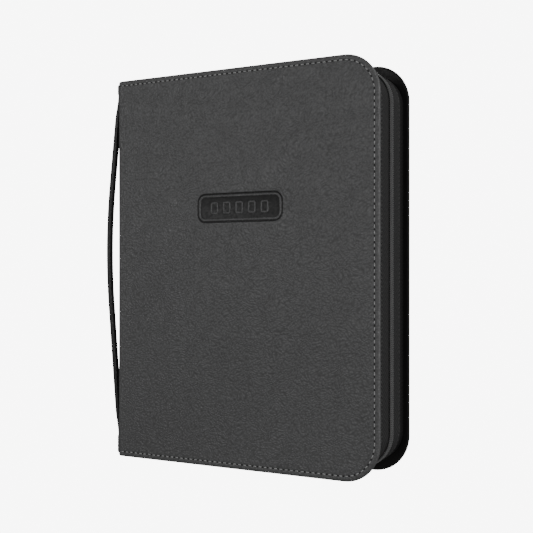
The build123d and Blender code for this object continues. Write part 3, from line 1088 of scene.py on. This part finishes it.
PAGES = 20
PAGE_FOLD = 10 * MM                 # width of the thin strip that a page folds on
PAGE_THIN, PAGE_THICK = 0.11 * MM, 0.26 * MM    # half thicknesses of the strip and the leaf
PAGE_CORNER = 4 * MM


def page_columns(low, high):
    """(x, half thickness) from the clamped root to the fore-edge of a page."""
    root, clamp, leaf = BLOCK_HIGH.x - 0.5 * MM, BLOCK_HIGH.x, low.x + PAGE_FOLD
    columns = [(root, PAGE_THIN), (clamp, PAGE_THIN)]
    columns += [(clamp + PAGE_FOLD * i / 8, PAGE_THIN) for i in range(1, 8)]
    columns += [(leaf, PAGE_THIN), (leaf + 0.6 * MM, PAGE_THICK)]
    columns += [(leaf + (high.x - leaf) * i / 12, PAGE_THICK) for i in range(1, 12)]
    return columns + [(high.x - 0.5 * MM, PAGE_THICK), (high.x, PAGE_THICK * 0.3)]


def make_page(index):
    """Black backing sheet with its fold strip, and film pockets on both sides."""
    node = f"page_{index:02d}"
    low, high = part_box(node)
    y = (low.y + high.y) / 2
    leaf = low.x + PAGE_FOLD
    verts, faces, rows = [], [], []
    for x, half in page_columns(low, high):
        trim = PAGE_CORNER * max(0.0, 1 - (high.x - x) / PAGE_CORNER) ** 2
        z0, z1 = low.z + trim, high.z - trim
        corners = ((y - half, z0), (y - half, z1), (y + half, z1), (y + half, z0))
        add_row(verts, rows, [Vector((x, py, pz)) for py, pz in corners])
    closed_tube(rows, faces)
    backing = new_object(f"{node}_backing", verts, faces, [MATERIALS["backing"]], 40)
    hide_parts(node)
    x0, x1 = leaf + 3 * MM, high.x - 3 * MM
    for side in (-1, 1):
        make_film(index, node, side, x0, x1, low.z + 4 * MM, high.z - 4 * MM,
                  y + side * PAGE_THICK)
    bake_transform(backing)


# ---- finishes of the CAD pieces that stay ----

CAD_FINISHES = {
    "front_cover_foam": "foam", "back_cover_foam": "foam",
    "front_cover_board": "board", "back_cover_board": "board", "spine_board": "board",
    "spine_lining": "lining", "front_binding_bar": "plastic", "back_binding_bar": "plastic",
    "page_spacers": "plastic", "page_roots": "backing", "binding_posts": "steel",
}


def finish_cad_pieces():
    for node, material in CAD_FINISHES.items():
        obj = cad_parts[node]
        obj.data.materials.clear()
        obj.data.materials.append(MATERIALS[material])


# ---- stage, lights and camera ----

STAGE_SIZE = 4.0
STAGE_GLOW = 8.0


def glowing_paper():
    material, _, _, shader = node_material("stage_paper")
    shader.inputs["Base Color"].default_value = (0, 0, 0, 1)
    shader.inputs["Roughness"].default_value = 0.9
    shader.inputs["Specular IOR Level"].default_value = 0.0
    shader.inputs["Emission Color"].default_value = (1, 1, 1, 1)
    shader.inputs["Emission Strength"].default_value = STAGE_GLOW
    return material


def make_dome(paper):
    """Half a globe over the object, seen as the plain background."""
    steps, sides = 12, 32
    radius = STAGE_SIZE * 0.98
    rows, verts, faces = [], [], []
    for i in range(steps + 1):
        angle = math.pi / 2 * i / steps
        reach = radius * math.cos(angle)
        height = STAGE_SIZE * math.sin(angle) - 0.01
        turns = [2 * math.pi * k / sides for k in range(sides)]
        add_row(verts, rows, [Vector((reach * math.cos(turn), reach * math.sin(turn), height))
                              for turn in turns])
    faces.extend(strip_faces(rows, closed=True))
    return new_object("backdrop", verts, faces, [paper])


def make_stage():
    """A white floor and a white dome. Both glow for the camera only and light nothing."""
    size = STAGE_SIZE
    paper = glowing_paper()
    corners = ((-size, -size), (size, -size), (size, size), (-size, size))
    verts = [Vector((x, y, -0.0002)) for x, y in corners]
    floor = new_object("floor", verts, [(0, 1, 2, 3)], [paper])
    dome = make_dome(paper)
    for obj in (floor, dome):
        obj.visible_diffuse = False
        obj.visible_glossy = False
        obj.visible_shadow = False


# Each light: name, place, size across, power in watts.
LIGHTS = [
    ("key", (-1.5, -3.1, 0.9), 1.3, 38),
    ("side", (2.15, -1.15, 0.55), 0.4, 42),
    ("top", (1.3, 0.3, 1.7), 0.8, 14),
    ("back", (-1.4, 2.6, 1.2), 1.5, 60),
]
WORLD_LIGHT = 0.35


def area_light(name, place, target, size, power):
    data = bpy.data.lights.new(name, "AREA")
    data.shape = "DISK"
    data.size = size
    data.energy = power
    light = bpy.data.objects.new(name, data)
    light.location = place
    light.rotation_euler = (Vector(target) - Vector(place)).to_track_quat("-Z", "Y").to_euler()
    bpy.context.scene.collection.objects.link(light)


def make_lights():
    middle = (X_MIDDLE, 0, HEIGHT / 2)
    for name, place, size, power in LIGHTS:
        area_light(name, place, middle, size, power)
    world = bpy.data.worlds.new("studio")
    world.use_nodes = True
    background = world.node_tree.nodes["Background"]
    background.inputs["Color"].default_value = (1, 1, 1, 1)
    background.inputs["Strength"].default_value = WORLD_LIGHT
    bpy.context.scene.world = world


YAW = math.radians(30.93)
FOCAL_SHARE = 1.9345                # focal length over the picture's width
SHIFT_UP = 0.0141
SENSOR = 36
CAMERA_RIGHT, CAMERA_FRONT, CAMERA_HEIGHT = 0.4668, 0.7639, 0.1652


def make_camera():
    data = bpy.data.cameras.new("camera")
    data.sensor_width = SENSOR
    data.lens = SENSOR * FOCAL_SHARE
    data.shift_y = SHIFT_UP
    camera = bpy.data.objects.new("camera", data)
    camera.location = (X_MIDDLE + CAMERA_RIGHT, -CAMERA_FRONT, CAMERA_HEIGHT)
    camera.rotation_euler = (math.pi / 2, 0, YAW)
    bpy.context.scene.collection.objects.link(camera)
    bpy.context.scene.camera = camera


make_camera()
make_lights()
make_stage()
make_leathers()
make_badge_cards()
make_cover_stitches()
make_spine_stitches()
make_zip()
make_slider()
make_strap()
make_strap_patches()
make_lining("front_lining_panel", -1, "front_cover")
make_lining("back_lining_panel", 1, "back_cover")
for page_number in range(1, PAGES + 1):
    make_page(page_number)
finish_cad_pieces()
